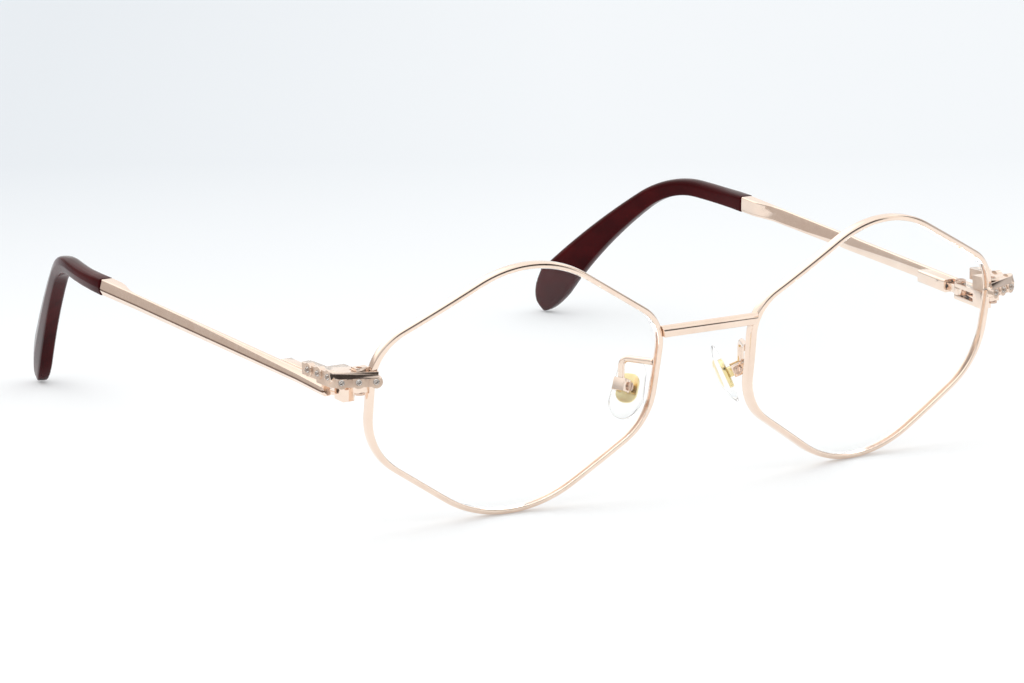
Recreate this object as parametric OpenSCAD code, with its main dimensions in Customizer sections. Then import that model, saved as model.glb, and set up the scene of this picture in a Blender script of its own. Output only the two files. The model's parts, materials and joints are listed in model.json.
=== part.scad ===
// Full-rim metal eyeglass frame with spring hinges, plastic temple tips and nose pads on arms.
// X runs to the wearer's left, Y to the back and Z up. The frame stands open on a table.

/* [Rims and lenses] */
// Width across the corner points of a rim's outline
rim_w = 55.6; // [45:0.1:65]
// Height across the corner points of a rim's outline
rim_h = 53.4; // [40:0.1:70]
// Width of the rim wire, seen from the front
rim_wire_w = 1; // [0.7:0.05:2]
// Depth of the rim wire, front to back
rim_wire_d = 1.9; // [1.5:0.05:3]
// Radius of the lens surface
lens_curve_r = 177.8; // [85:0.1:400]
// Thickness of the lens
lens_t = 1.5; // [1.2:0.05:1.9]
// Depth of the groove inside the rim
groove_d = 0.4; // [0.2:0.05:0.6]
// Width of the groove inside the rim
groove_w = 0.8; // [0.5:0.05:1.2]
// Clearance between the lens and its rim
lens_clear = 0.03; // [0.01:0.01:0.1]
// Distance of each lens centre from the middle of the frame
eye_x = 36.9; // [30:0.1:42]
// Height of the lens centre over the table
eye_z = 22.65; // [18:0.05:35]
// Turn of each rim towards its temple, in degrees
wrap_angle = 5.1; // [0:0.1:12]
// Lean of the rims where the lens faces straight ahead, in degrees
tilt_angle = 2.7; // [0:0.1:12]
// Depth of the lens centre under the point where the lens faces straight ahead
lens_drop = 27.7; // [0:0.1:35]
// Height of the rim's split over the lens centre
split_t = 4.6; // [3:0.1:7]
// Width of the rim's split
split_gap = 0.25; // [0.1:0.05:0.5]

/* [Bridge] */
// Height of the bridge's front edge over the lens centre
bridge_up = 7.4; // [4:0.1:12]
// Height of the bridge bar
bridge_h = 2.05; // [1.5:0.05:3.5]
// Depth of the bridge bar
bridge_d = 2; // [1.5:0.05:3.5]

/* [Closing blocks] */
// Width of each closing block
block_w = 2.1; // [1.8:0.1:3]
// Depth of each closing block
block_d = 1.9; // [1.7:0.1:3]
// Height of the upper closing block
block_upper_h = 1.8; // [1.5:0.1:3]
// Height of the lower closing block
block_lower_h = 2.2; // [1.5:0.1:4]
// Diameter of the closing screw
block_screw_d = 1; // [0.8:0.05:1.2]
// Diameter of the closing screw's head
block_head_d = 1.7; // [1.3:0.05:2]

/* [End pieces] */
// Height of the end piece
end_h = 2.5; // [2:0.1:4]
// Length of the end piece's front leg
end_front_l = 8.3; // [7:0.1:12]
// Slope of the end piece's front leg towards the temple, in degrees
end_slope = 25.5; // [15:0.5:35]
// Height of the leaning band along the top of the front leg
band_h = 1.1; // [0.6:0.05:1.2]
// Lean of that band, in degrees
band_lean = 20; // [5:1:30]
// Thickness of the end piece's side leg
end_side_t = 2; // [1.5:0.1:3]
// Height of the end piece's side leg
end_side_h = 2; // [1.5:0.1:2.4]
// Radius of the end piece's outer corner
end_corner_r = 1.7; // [0.5:0.1:3]
// Radius of a round setting on the front leg
setting_r = 1.1; // [0.8:0.05:1.3]
// Radius of a round setting on the side leg
side_setting_r = 1.15; // [0.6:0.05:1.25]
// Height of a setting over the face that carries it
setting_rise = 0.35; // [0.1:0.05:0.6]
// Spacing of the settings on the front leg
front_pitch = 2.9; // [2.6:0.1:3.2]
// Spacing of the settings on the side leg
side_pitch = 3.4; // [2.4:0.1:3.6]
// Diameter of a stone
stone_d = 1.1; // [0.8:0.05:1.8]
// Depth of a stone's seat
stone_seat = 0.5; // [0.3:0.05:0.8]

/* [Hinges] */
// Distance of each hinge pin outwards of the rim's side
pin_out = 1.96; // [1.8:0.02:3]
// Distance of each hinge pin behind the front of the rim's side
pin_back = 12.38; // [12:0.1:15]
// Depth of the hinge pin's middle under the end piece
pin_under = 1.33; // [1.3:0.05:2]
// Rise of the temple towards the back, in degrees
temple_rise = 3.15; // [0:0.05:8]
// Spread of the temple towards the back, in degrees
temple_spread = 1.35; // [0:0.05:4]
// Height of the hinge leaf
leaf_h = 3; // [2.6:0.1:4]
// Height of the slot between the leaf's two ears
leaf_slot = 1.5; // [1.2:0.05:2]
// Radius of the ears and of the slider's eye
ear_r = 1.1; // [0.95:0.05:1.15]
// Diameter of the hinge screw's shank
screw_d = 1.2; // [0.8:0.05:1.3]
// Diameter of the hinge screw's head
screw_head_d = 1.9; // [1.5:0.05:2.2]
// Height of the hinge screw's head
screw_head_h = 0.5; // [0.3:0.05:0.8]
// Running clearance of the hinge pieces
run_clear = 0.04; // [0.02:0.01:0.06]
// Outward over-opening that the spring hinge allows, in degrees
over_open = 12; // [5:1:15]
// Length of the leaf's solid base
leaf_base_l = 2.9; // [2:0.1:4]
// Distance from the pin to the spring housing's front
housing_front = 3.7; // [3.2:0.1:5]
// Length of the spring housing
housing_l = 8.3; // [7.8:0.1:12]
// Height of the spring housing
housing_h = 2.4; // [2:0.1:3]
// Diameter of the housing's bore
housing_bore = 1.4; // [1.2:0.05:1.6]
// Thickness of the stop ring in the housing's mouth
stop_t = 0.7; // [0.4:0.05:1]
// Diameter of the slider's rod
rod_d = 0.7; // [0.5:0.05:0.8]
// Diameter of the rod's head
rod_head_d = 1.25; // [1:0.05:1.3]
// Length of the rod's head
rod_head_l = 0.8; // [0.4:0.1:1]
// Diameter of the spring's wire
spring_wire = 0.22; // [0.15:0.01:0.25]
// Number of the spring's turns
spring_turns = 6; // [4:1:8]
// Length of the spring at rest
spring_l = 5; // [4.5:0.1:5.2]

/* [Temples] */
// Length of the metal temple from the pin to the tip
bar_l = 73.5; // [60:0.5:90]
// Thickness of the temple
bar_t = 1.4; // [1:0.1:2]
// Height of the temple at the hinge
bar_h = 2.45; // [2:0.05:3]
// Height of the temple at the tip
bar_end_h = 2.9; // [2.4:0.05:3.4]
// Width of the temple at the tip
bar_end_w = 2.7; // [2:0.1:3.2]
// Length of the temple's widening ahead of the tip
bar_flare_l = 7; // [4:0.1:15]
// Length of the temple ahead of the pin
bar_nose = 4.9; // [4.5:0.1:5]

/* [Temple tips] */
// Length of the tip along its middle
tip_l = 67.3; // [50:0.1:80]
// Length of the tip's straight part ahead of the bend
tip_straight = 14.7; // [10:0.1:30]
// Radius of the tip's bend over the ear
tip_bend_r = 23.8; // [12:0.1:40]
// Angle of the tip's bend, in degrees
tip_bend = 36.8; // [20:0.1:60]
// Further bend along the tip's tail, in degrees
tip_tail_bend = 14.85; // [0:0.1:20]
// Inward turn of the tip, in degrees
tip_inward = 20; // [0:0.5:30]
// Height of the tip where it meets the metal
tip_h = 3.1; // [3:0.1:5]
// Height of the tip at its broad end
tip_end_h = 7.7; // [5:0.1:10]
// Length of the tip's rounded end
tip_round_l = 7.6; // [3:0.1:10]
// Thickness of the tip
tip_t = 3.1; // [3:0.1:5]
// Length of the metal core inside the tip
core_l = 50; // [20:1:58]
// Thickness of the metal core
core_t = 0.9; // [0.6:0.1:1.2]
// Height of the metal core
core_h = 1.6; // [1:0.1:2.4]

/* [Nose pads] */
// Distance of the pad's middle from the middle of the frame
pad_x = 9.8; // [8:0.1:13]
// Distance of the pad's middle behind the front of the frame
pad_y = 12.5; // [11:0.1:16]
// Height of the pad's middle over the table
pad_z = 18; // [15:0.1:20]
// Turn of the pad's back edge outwards, in degrees
pad_splay = 27; // [15:1:35]
// Turn of the pad's lower edge outwards, in degrees
pad_lean = 24; // [10:1:35]
// Length of the pad
pad_l = 11; // [9:0.5:16]
// Width of the pad
pad_w = 6.4; // [5.5:0.1:9]
// Thickness of the pad
pad_t = 2.5; // [2:0.1:3]
// Diameter of the pad arm's wire
arm_d = 1.15; // [0.8:0.05:1.3]
// Radius of the pad arm's bend
arm_bend_r = 1.6; // [1.2:0.1:2.5]
// Height of the pad arm's foot over the lens centre
arm_up = 1.35; // [0:0.05:5]
// Diameter of the pad screw
pad_screw_d = 0.9; // [0.7:0.05:1]
// Distance from the pad's middle to the pad screw's axis
pad_axis = 2.65; // [2.5:0.05:3]
// Width of the pad's fixing tab
tab_w = 1.2; // [0.8:0.05:1.4]
// Length of the metal plate inside the pad
plate_l = 5.2; // [4:0.1:7]
// Width of the metal plate inside the pad
plate_w = 4.2; // [3:0.1:5]

/* [Hidden] */
$fn = 48;

// Corner points of a rim's outline as shares of half its width and half its height,
// clockwise from the top, with the radius of each rounded corner.
corner_share = [[-0.044, 0.965], [1, 0.3715], [0.991, -0.34],
                [-0.01, -1.035], [-0.9655, -0.3545], [-1, 0.348]];
corner_r = [20.2, 10.2, 13.2, 22, 11.5, 8.9];
corners = [for (c = corner_share) [c[0] * rim_w / 2, c[1] * rim_h / 2]];

// Soldered and seated pieces keep this film between them.
film = 0.02;

function unit(v) = v / norm(v);
function before(p, i) = unit(p[(i + len(p) - 1) % len(p)] - p[i]);
function after(p, i) = unit(p[(i + 1) % len(p)] - p[i]);
function half_angle(p, i) = acos(before(p, i) * after(p, i)) / 2;
function round_centre(p, i, r) = p[i] + unit(before(p, i) + after(p, i)) * r / sin(half_angle(p, i));
function foot_dir(p, i, r, d) = unit(p[i] + d * r / tan(half_angle(p, i)) - round_centre(p, i, r));

// Points along a rounded corner, after the outline is drawn in by inset.
function corner_arc(p, i, r, inset) = r == 0 ? [p[i]] : let (
    from = foot_dir(p, i, r, before(p, i)),
    to = foot_dir(p, i, r, after(p, i)),
    sweep = atan2(from[0] * to[1] - from[1] * to[0], from * to),
    steps = max(3, ceil(abs(sweep) / (r > 5 ? 5 : 18))))
    [for (k = [0:steps]) let (a = atan2(from[1], from[0]) + sweep * k / steps)
        round_centre(p, i, r) + (r - inset) * [cos(a), sin(a)]];

// Height of the point where the lens faces straight ahead, and the rim's outline at its temple side.
ahead_z = eye_z + lens_drop * cos(tilt_angle);
side_s = corners[1][0] - 0.12;

// Place on the front of a rim: s outwards and t upwards from the lens centre, depth to the back.
function lens_sag(s, t) = lens_curve_r - sqrt(pow(lens_curve_r, 2) - s * s - pow(t - lens_drop, 2));
function rim_point(s, t, depth) = let (
    back = lens_sag(s, t) + depth,
    y = s * sin(wrap_angle) + back * cos(wrap_angle),
    up = t - lens_drop)
    [eye_x + s * cos(wrap_angle) - back * sin(wrap_angle),
     y * cos(tilt_angle) - up * sin(tilt_angle),
     ahead_z + up * cos(tilt_angle) + y * sin(tilt_angle)];
rim_edge = [for (i = [0:5]) for (a = [0:5:355])
    let (c = round_centre(corners, i, corner_r[i]) + corner_r[i] * [cos(a), sin(a)])
    rim_point(c[0], c[1], 0)];

// Rim split, closing blocks and end piece.
split_z = rim_point(side_s, split_t, rim_wire_d / 2)[2];
rim_side = rim_point(side_s, split_t, 0);
block_x = rim_side[0] + 0.05;
block_y = rim_side[1] + 0.8;
block_screw_x = block_x + block_w / 2 + 0.1;
block_screw_y = block_y + block_d / 2 - 0.2;
end_z = split_z - 1.1;
end_top = end_z + end_h;
end_in = [rim_side[0] - 1.2, rim_side[1] - 1.6];
end_corner = end_in + end_front_l * [cos(end_slope), sin(end_slope)];
pin_x = rim_side[0] + pin_out;
pin_y = rim_side[1] + pin_back;
pin_z = end_z - pin_under;
end_back_y = pin_y + 0.5;
end_side_x = end_corner[0] - 0.2 - end_side_t;
end_side_z = end_top - end_side_h;
end_plan = [end_in, end_corner, [end_side_x + end_side_t, end_back_y], [end_side_x, end_back_y],
            [end_side_x, pin_y - 5.15], [pin_x - ear_r, pin_y - 5.15], [pin_x - ear_r, block_y + block_d + 0.4],
            [block_x + block_w + 0.15, block_y + block_d + 0.4], [block_x + block_w + 0.15, block_y],
            [end_in[0], block_y]];
end_plan_r = [0.6, end_corner_r, 0.8, 0.6, 0, 0, 0, 0, 0, 0];
front_setting_at = [for (k = [0:2]) setting_r - 0.25 + k * front_pitch];
side_setting_y = [for (k = [0:2]) end_back_y - side_setting_r - 1.85 - k * side_pitch];
front_setting_z = end_z + setting_r - 0.2;
side_setting_z = end_side_z + side_setting_r + 0.05;

// Spring hinge, measured from the pin along the temple.
eye_h = leaf_slot - 2 * run_clear - 0.02;
bar_in = ear_r + 0.1;
stop_front = housing_front + 0.7;
rod_head_at = stop_front + stop_t + spring_l;
bore_end = rod_head_at + rod_head_l + 0.4;
bar_end_out = bar_in + bar_t + 0.2;
bar_end_z = -0.1;

// Tip: its middle line runs straight, bends down over the ear and turns in towards the head.
tip_step = 1;
bend_l = tip_bend_r * tip_bend * PI / 180;
turn_l = tip_straight + bend_l * 0.75;
function tip_pitch(s) = tip_bend * max(0, min(1, (s - tip_straight) / bend_l))
    + tip_tail_bend * max(0, (s - tip_straight - bend_l) / (tip_l - tip_straight - bend_l));
function tip_yaw(s) = tip_inward * max(0, min(1, s / turn_l));
function tip_dir(s) = [-sin(tip_yaw(s)) * cos(tip_pitch(s)), cos(tip_yaw(s)) * cos(tip_pitch(s)),
                       -sin(tip_pitch(s))];
tip_start = [bar_end_out - bar_end_w / 2, bar_l, bar_end_z - 0.05];
tip_line = [for (i = 0, p = tip_start; i * tip_step <= tip_l + 1; p = p + tip_step * tip_dir((i + 0.5) * tip_step),
            i = i + 1) p];
function tip_place(s) = let (i = max(0, floor(s / tip_step)))
    tip_line[i] + (s - i * tip_step) * tip_dir(i * tip_step);
function tip_out(s) = [cos(tip_yaw(s)), sin(tip_yaw(s)), 0];
function tip_up(s) = cross(tip_out(s), tip_dir(s));

// Half height of the tip: slim over the ear, broad at the end, and rounded there mostly from its upper side.
function blend(t) = let (u = max(0, min(1, t))) u * u * (3 - 2 * u);
function tip_share(s) = max(0, min(1, (s - tip_straight) / (tip_l - tip_round_l - tip_straight)));
function tip_half(s) = (tip_h + (tip_end_h - tip_h) * pow(tip_share(s), 1.9)) / 2;
function cap(s) = s <= tip_l - tip_round_l ? 1 : sqrt(max(0, 1 - pow((s - tip_l + tip_round_l) / tip_round_l, 2)));
function tip_drop(s) = tip_half(s) * (1 - cap(s)) * 0.48;
tip_stations = concat([0, tip_straight / 2], [for (k = [0:6]) tip_straight + bend_l * k / 6],
    [for (k = [1:3]) tip_straight + bend_l + (tip_l - tip_round_l - tip_straight - bend_l) * k / 3],
    [for (a = [30, 50, 65, 77, 85]) tip_l - tip_round_l + tip_round_l * sin(a)]);
core_stations = concat([-1.5], [for (s = tip_stations) if (s > 0.5 && s < core_l - 2) s], [core_l]);

// Cross-section of the tip with softened corners, as shares of half its thickness and half its height.
tip_shape = [[1, 0.6], [0.86, 0.86], [0.5, 1], [-0.5, 1], [-0.86, 0.86], [-1, 0.6],
             [-1, -0.6], [-0.86, -0.86], [-0.5, -1], [0.5, -1], [0.86, -0.86], [1, -0.6]];
function tip_ring(s, half_t, half_h) = [for (q = tip_shape)
    tip_place(s) + tip_out(s) * q[0] * half_t + tip_up(s) * (q[1] * half_h - tip_drop(s))];
function core_ring(s, half_t, half_h) = [for (q = [[1, 1], [-1, 1], [-1, -1], [1, -1]])
    tip_place(s) + tip_out(s) * q[0] * half_t + tip_up(s) * q[1] * half_h];
tip_rings = [for (s = tip_stations)
    tip_ring(s, tip_t / 2 * (0.55 + 0.45 * cap(s)), max(0.25, tip_half(s) * cap(s)))];

// The hinge frame has its origin in the middle of the pin and looks back along the temple.
function hinge_to_frame(p) = let (
    y = p[1] * cos(temple_rise) - p[2] * sin(temple_rise),
    z = p[1] * sin(temple_rise) + p[2] * cos(temple_rise))
    [pin_x + p[0] * cos(temple_spread) + y * sin(temple_spread),
     pin_y - p[0] * sin(temple_spread) + y * cos(temple_spread), pin_z + z];
tip_points = [for (r = tip_rings) for (p = r) hinge_to_frame(p)];

// The object is centred front to back and stands on the table with its lowest points.
shift_y = -(min([for (p = rim_edge) p[1]]) + max([for (p = tip_points) p[1]])) / 2;
shift_z = -min([for (p = concat(rim_edge, tip_points)) p[2]]);

// Nose pad and its box, measured from the middle of the pad.
pad_back = pad_t / 2 - 0.1;
box_in = pad_axis - 0.9;
box_out = pad_axis + 1.8;
box_w = tab_w + 1.1;
box_h = 2.2;
box_y = -0.3;
arm_foot = rim_point(corners[5][0] + 0.4 + rim_wire_w / 2, arm_up, rim_wire_d);
box_top = pad_to_frame([box_out - 0.6, box_y, box_h / 2]);
arm_run = norm([box_top[0] - arm_foot[0], box_top[1] - arm_foot[1]]);
arm_turn = atan2(box_top[0] - arm_foot[0], box_top[1] - arm_foot[1]);
function pad_to_frame(p) = let (
    x = p[0] * cos(pad_lean) - p[2] * sin(pad_lean),
    z = p[0] * sin(pad_lean) + p[2] * cos(pad_lean))
    [pad_x + x * cos(pad_splay) + p[1] * sin(pad_splay),
     pad_y - x * sin(pad_splay) + p[1] * cos(pad_splay), pad_z + z];

// Shape with rounded corners, drawn in by inset.
module rounded(p, radii, inset = 0) {
    polygon([for (i = [0:len(p) - 1]) each corner_arc(p, i, radii[i], inset)]);
}

// Stands the object on the table, centred front to back.
module placed() {
    translate([0, shift_y, shift_z]) children();
}

// The same piece on the wearer's right side.
module mirrored() {
    mirror([1, 0, 0]) children();
}

// Plane of a rim, with the lens centre at its origin and its front towards +Z.
module eye_frame() {
    translate([eye_x, 0, ahead_z])
        rotate([tilt_angle, 0, 0])
            rotate([0, 0, wrap_angle])
                rotate([90, 0, 0])
                    translate([0, -lens_drop, 0]) children();
}

// Column that a rim's outline sweeps to the front and to the back.
module rim_column(extra) {
    eye_frame() translate([0, 0, -18]) linear_extrude(24) rounded(corners, corner_r, -extra);
}

// Everything behind the lens surface, moved back by depth.
module behind_surface(depth) {
    translate([0, lens_drop, -lens_curve_r - depth]) sphere(r = lens_curve_r, $fn = 200);
}

// Layer that follows the lens surface inside an outline.
module curved_layer(inset, depth, thickness) {
    difference() {
        intersection() {
            translate([0, 0, -14]) linear_extrude(14.5) rounded(corners, corner_r, inset);
            behind_surface(depth);
        }
        behind_surface(depth + thickness);
    }
}

// Room that a rim and its lens take up, from the rim's front to well behind it.
module rim_room(extra) {
    eye_frame() intersection() {
        translate([0, 0, -18]) linear_extrude(18.5) rounded(corners, corner_r, -extra);
        behind_surface(-extra);
    }
}

module left_rim() {
    color("#e3b899") placed() eye_frame() difference() {
        curved_layer(0, 0, rim_wire_d);
        translate([0, 0, -16]) linear_extrude(18) rounded(corners, corner_r, rim_wire_w);
        curved_layer(rim_wire_w - groove_d, (rim_wire_d - groove_w) / 2, groove_w);
        translate([side_s - 3, split_t - split_gap / 2, -14]) cube([6, split_gap, 16]);
    }
}

module left_lens() {
    color("#dfe9ee", 0.35) placed() eye_frame() union() {
        curved_layer(rim_wire_w + lens_clear, (rim_wire_d - lens_t) / 2, lens_t);
        curved_layer(rim_wire_w - groove_d + lens_clear, (rim_wire_d - groove_w) / 2 + lens_clear,
                     groove_w - 2 * lens_clear);
    }
}

module bridge() {
    low = eye_z + bridge_up - 1.15;
    top = low + bridge_h;
    front = rim_point(-side_s, bridge_up, 0)[1] - 0.65;
    back = front + bridge_d;
    color("#e3b899") placed() difference() {
        translate([-eye_x / 3, 0, 0]) rotate([90, 0, 90]) linear_extrude(eye_x * 2 / 3)
            polygon([[front, low + 0.56 * bridge_h], [front + 0.4, low], [back - 0.2, low],
                     [back, low + 0.54 * bridge_h], [back - 0.8, top], [front + 0.6, top]]);
        rim_column(film / 2);
        mirrored() rim_column(film / 2);
    }
}

module closing_block(low, high) {
    difference() {
        translate([block_x - 1, block_y, low]) cube([block_w + 1, block_d, high - low]);
        rim_room(film / 2);
        translate([block_screw_x, block_screw_y, low - 1])
            cylinder(d = block_screw_d + 2 * film, h = high - low + 2);
    }
}

module left_closing_block_upper() {
    color("#d9ab8b") placed() closing_block(split_z + split_gap / 2, split_z + split_gap / 2 + block_upper_h);
}

module left_closing_block_lower() {
    color("#d9ab8b") placed() closing_block(split_z - split_gap / 2 - block_lower_h, split_z - split_gap / 2);
}

module left_closing_screw() {
    low = split_z - split_gap / 2 - block_lower_h;
    color("#c99a7a") placed() translate([block_screw_x, block_screw_y, 0]) difference() {
        union() {
            translate([0, 0, low - 0.45]) cylinder(d = block_head_d, h = 0.45);
            translate([0, 0, low - 0.2])
                cylinder(d = block_screw_d, h = block_lower_h + split_gap + block_upper_h - 0.1);
        }
        translate([-block_head_d, -0.12, low - 0.65]) cube([2 * block_head_d, 0.24, 0.4]);
    }
}

// Places its child on each round setting, with +Z pointing out of the face.
module on_settings(front, side) {
    if (front)
        for (d = front_setting_at)
            translate([end_in[0] + d * cos(end_slope), end_in[1] + d * sin(end_slope), front_setting_z])
                rotate([90, 0, end_slope]) children();
    if (side)
        for (y = side_setting_y)
            translate([end_side_x + end_side_t, y, side_setting_z]) rotate([0, 90, 0]) children();
}

module left_end_piece() {
    color("#e3b899") placed() difference() {
        union() {
            difference() {
                translate([0, 0, end_z]) linear_extrude(end_h) rounded(end_plan, end_plan_r);
                translate([end_side_x - 0.5, pin_y - 5.15, end_z - 1])
                    cube([end_side_t + 2, 12, end_h + 1 - end_side_h]);
            }
            on_settings(true, false) translate([0, 0, -0.8]) cylinder(r = setting_r, h = 0.8 + setting_rise);
            on_settings(false, true) translate([0, 0, -0.8])
                cylinder(r = side_setting_r, h = 0.8 + setting_rise);
        }
        rim_room(film / 2);
        on_settings(true, true) translate([0, 0, setting_rise - stone_seat]) cylinder(d = stone_d, h = 1);
        translate([end_in[0], end_in[1], end_top - band_h]) rotate([0, 0, end_slope]) rotate([-band_lean, 0, 0])
            translate([-2, -3, 0]) cube([end_front_l + 4, 3, 3]);
    }
}

module left_end_piece_stones() {
    girdle = stone_d / 2 - film / 2;
    color("#f4ede6") placed() on_settings(true, true) translate([0, 0, setting_rise - stone_seat + film / 2])
        rotate_extrude($fn = 24)
            polygon([[0, 0], [girdle * 0.6, 0], [girdle, stone_seat * 0.6], [girdle, stone_seat],
                     [girdle * 0.6, stone_seat + 0.28], [0, stone_seat + 0.28]]);
}

// Hinge frame: origin in the middle of the pin, Y back along the temple, X outwards.
module hinge_frame() {
    translate([pin_x, pin_y, pin_z]) rotate([temple_rise, 0, -temple_spread]) children();
}

// Flat ear or eye with a round end at the pin, reaching towards the front or the back.
module eye_plate(low, height, reach) {
    translate([0, 0, low]) linear_extrude(height) {
        circle(r = ear_r);
        translate([-ear_r, min(0, reach)]) square([2 * ear_r, abs(reach)]);
    }
}

module left_hinge_leaf() {
    relief_l = 5.4;
    relief = relief_l * tan(over_open) + 0.1;
    color("#d9ab8b") placed() difference() {
        hinge_frame() difference() {
            union() {
                translate([-ear_r, -5.4 - leaf_base_l, -leaf_h / 2]) cube([2 * ear_r, leaf_base_l, leaf_h + 1.2]);
                eye_plate(leaf_slot / 2, (leaf_h - leaf_slot) / 2, -5.41);
                eye_plate(-leaf_h / 2, (leaf_h - leaf_slot) / 2, -5.41);
            }
            translate([0, 0, -leaf_h]) cylinder(d = screw_d + 2 * run_clear, h = 2 * leaf_h);
            translate([0, 0, -leaf_h]) linear_extrude(3 * leaf_h)
                polygon([[ear_r - 0.05, 0.9], [ear_r + 1, 0.9], [ear_r + 1, -relief_l],
                         [ear_r - relief, -relief_l], [ear_r - 0.05, -0.25]]);
        }
        translate([pin_x - 10, pin_y - 20, end_z - film]) cube([20, 20 - 5.15 + 0.1, 10]);
    }
}

module left_hinge_screw() {
    color("#c99a7a") placed() hinge_frame() difference() {
        union() {
            translate([0, 0, -leaf_h / 2]) cylinder(d = screw_d, h = leaf_h + 0.1);
            translate([0, 0, leaf_h / 2 + film]) cylinder(d = screw_head_d, h = screw_head_h);
        }
        translate([-screw_head_d, -0.13, leaf_h / 2 + film + screw_head_h - 0.22]) cube([2 * screw_head_d, 0.26, 1]);
    }
}

module left_hinge_slider() {
    color("#cfa184") placed() hinge_frame() difference() {
        union() {
            translate([0, 0, -eye_h / 2]) cylinder(r = ear_r, h = eye_h);
            translate([-0.5, 0, -eye_h / 2]) cube([1, stop_front - run_clear, eye_h]);
            translate([0, stop_front - 0.5, 0]) rotate([-90, 0, 0]) cylinder(d = rod_d, h = rod_head_at - stop_front + 1);
            translate([0, rod_head_at, 0]) rotate([-90, 0, 0]) cylinder(d = rod_head_d, h = rod_head_l);
        }
        translate([0, 0, -leaf_h]) cylinder(d = screw_d + 2 * run_clear, h = 2 * leaf_h);
    }
}

// Compression spring wound round the rod, between the stop ring and the rod's head.
module left_hinge_spring() {
    sides = 6;
    per_turn = 14;
    rings = spring_turns * per_turn;
    coil_r = rod_d / 2 + run_clear + spring_wire / 2 + 0.03;
    start = stop_front + stop_t + spring_wire / 2 + 0.02;
    run = spring_l - spring_wire - 0.04;
    points = [for (i = [0:rings]) let (a = 360 * i / per_turn) for (k = [0:sides - 1])
        let (b = 360 * k / sides, r = coil_r + spring_wire / 2 * cos(b))
        [r * cos(a), start + run * i / rings + spring_wire / 2 * sin(b), r * sin(a)]];
    faces = concat(
        [[for (k = [0:sides - 1]) k]],
        [for (i = [0:rings - 1]) for (k = [0:sides - 1]) for (h = [0, 1]) let (m = (k + 1) % sides)
            h == 0 ? [i * sides + k, (i + 1) * sides + k, (i + 1) * sides + m]
                   : [i * sides + k, (i + 1) * sides + m, i * sides + m]],
        [[for (k = [0:sides - 1]) rings * sides + sides - 1 - k]]);
    color("#b8bcc2") placed() hinge_frame() polyhedron(points, faces);
}

module left_spring_stop() {
    color("#b88c6f") placed() hinge_frame() translate([0, stop_front, 0]) rotate([-90, 0, 0]) difference() {
        cylinder(d = housing_bore - film, h = stop_t);
        translate([0, 0, -1]) cylinder(d = rod_d + 2 * run_clear, h = stop_t + 2);
    }
}

module left_spring_housing() {
    low_x = -housing_bore / 2 - 0.35;
    color("#e3b899") placed() hinge_frame() difference() {
        translate([0, housing_front, 0]) rotate([-90, 0, 0]) linear_extrude(housing_l) rounded(
            [[low_x, -housing_h / 2], [bar_in - film, -housing_h / 2], [bar_in - film, housing_h / 2],
             [low_x, housing_h / 2]], [0.5, 0.1, 0.1, 0.5]);
        translate([0, housing_front - 1, 0]) rotate([-90, 0, 0]) cylinder(d = housing_bore, h = bore_end - housing_front + 1);
        translate([-0.5 - run_clear, housing_front - 1, -eye_h / 2 - run_clear])
            cube([1 + 2 * run_clear, stop_front - housing_front + 1, eye_h + 2 * run_clear]);
        translate([-5, housing_front + housing_l, housing_h / 2]) rotate([-22, 0, 0]) translate([0, -4, -0.05]) cube([10, 6, 2]);
    }
}

module left_temple_bar() {
    flare_from = bar_l - 1.5 * bar_flare_l;
    flare_to = bar_l - bar_flare_l / 2;
    inner = [for (k = [0:8]) let (t = k / 8)
        [bar_in + (bar_end_out - bar_end_w - bar_in) * blend(t), flare_from + (flare_to - flare_from) * t]];
    out = bar_in + bar_t;
    line = bar_h / 2 - 0.63 * bar_h;
    color("#e3b899") placed() hinge_frame() union() {
        difference() {
            intersection() {
                translate([0, 0, -3]) linear_extrude(6) polygon(concat(
                    [[bar_in + 0.4, -bar_nose], [bar_in, -bar_nose + 0.4]], inner,
                    [[bar_end_out - bar_end_w, bar_l], [bar_end_out, bar_l], [out, flare_from - 2], [out, 5],
                     [out + 0.4, -bar_nose + 1.4], [out + 0.25, -bar_nose + 0.4], [out - 0.2, -bar_nose]]));
                translate([-3, 0, 0]) rotate([90, 0, 90]) linear_extrude(9) polygon([
                    [-bar_nose, -bar_h / 2 + 0.3], [-bar_nose + 0.4, -bar_h / 2], [5, -bar_h / 2],
                    [bar_l, bar_end_z - bar_end_h / 2], [bar_l, bar_end_z + bar_end_h / 2], [5, bar_h / 2],
                    [-bar_nose + 0.4, bar_h / 2], [-bar_nose, bar_h / 2 - 0.3]]);
            }
            translate([0, -bar_nose - 1, 0]) rotate([-90, 0, 0]) linear_extrude(bar_l + bar_nose + 2)
                polygon([[out + 0.02, -line], [out - 0.42, -line + 1], [out - 0.42, 4], [out + 4, 4], [out + 4, -line]]);
        }
        swept([for (s = core_stations) core_ring(s, core_t / 2, core_h / 2)]);
    }
}

// Solid through a row of rings with the same number of points.
module swept(rings) {
    n = len(rings[0]);
    m = len(rings);
    polyhedron([for (r = rings) for (p = r) p], concat(
        [for (k = [1:n - 2]) [0, k + 1, k]],
        [for (i = [0:m - 2]) for (k = [0:n - 1]) for (h = [0, 1]) let (q = (k + 1) % n)
            h == 0 ? [i * n + k, i * n + q, (i + 1) * n + q] : [i * n + k, (i + 1) * n + q, (i + 1) * n + k]],
        [for (k = [1:n - 2]) [(m - 1) * n, (m - 1) * n + k, (m - 1) * n + k + 1]]));
}

module left_temple_tip() {
    color("#5a1520") placed() hinge_frame() difference() {
        swept(tip_rings);
        swept([for (s = core_stations) core_ring(s == core_l ? s + 0.2 : s, core_t / 2 + film, core_h / 2 + film)]);
    }
}

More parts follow.
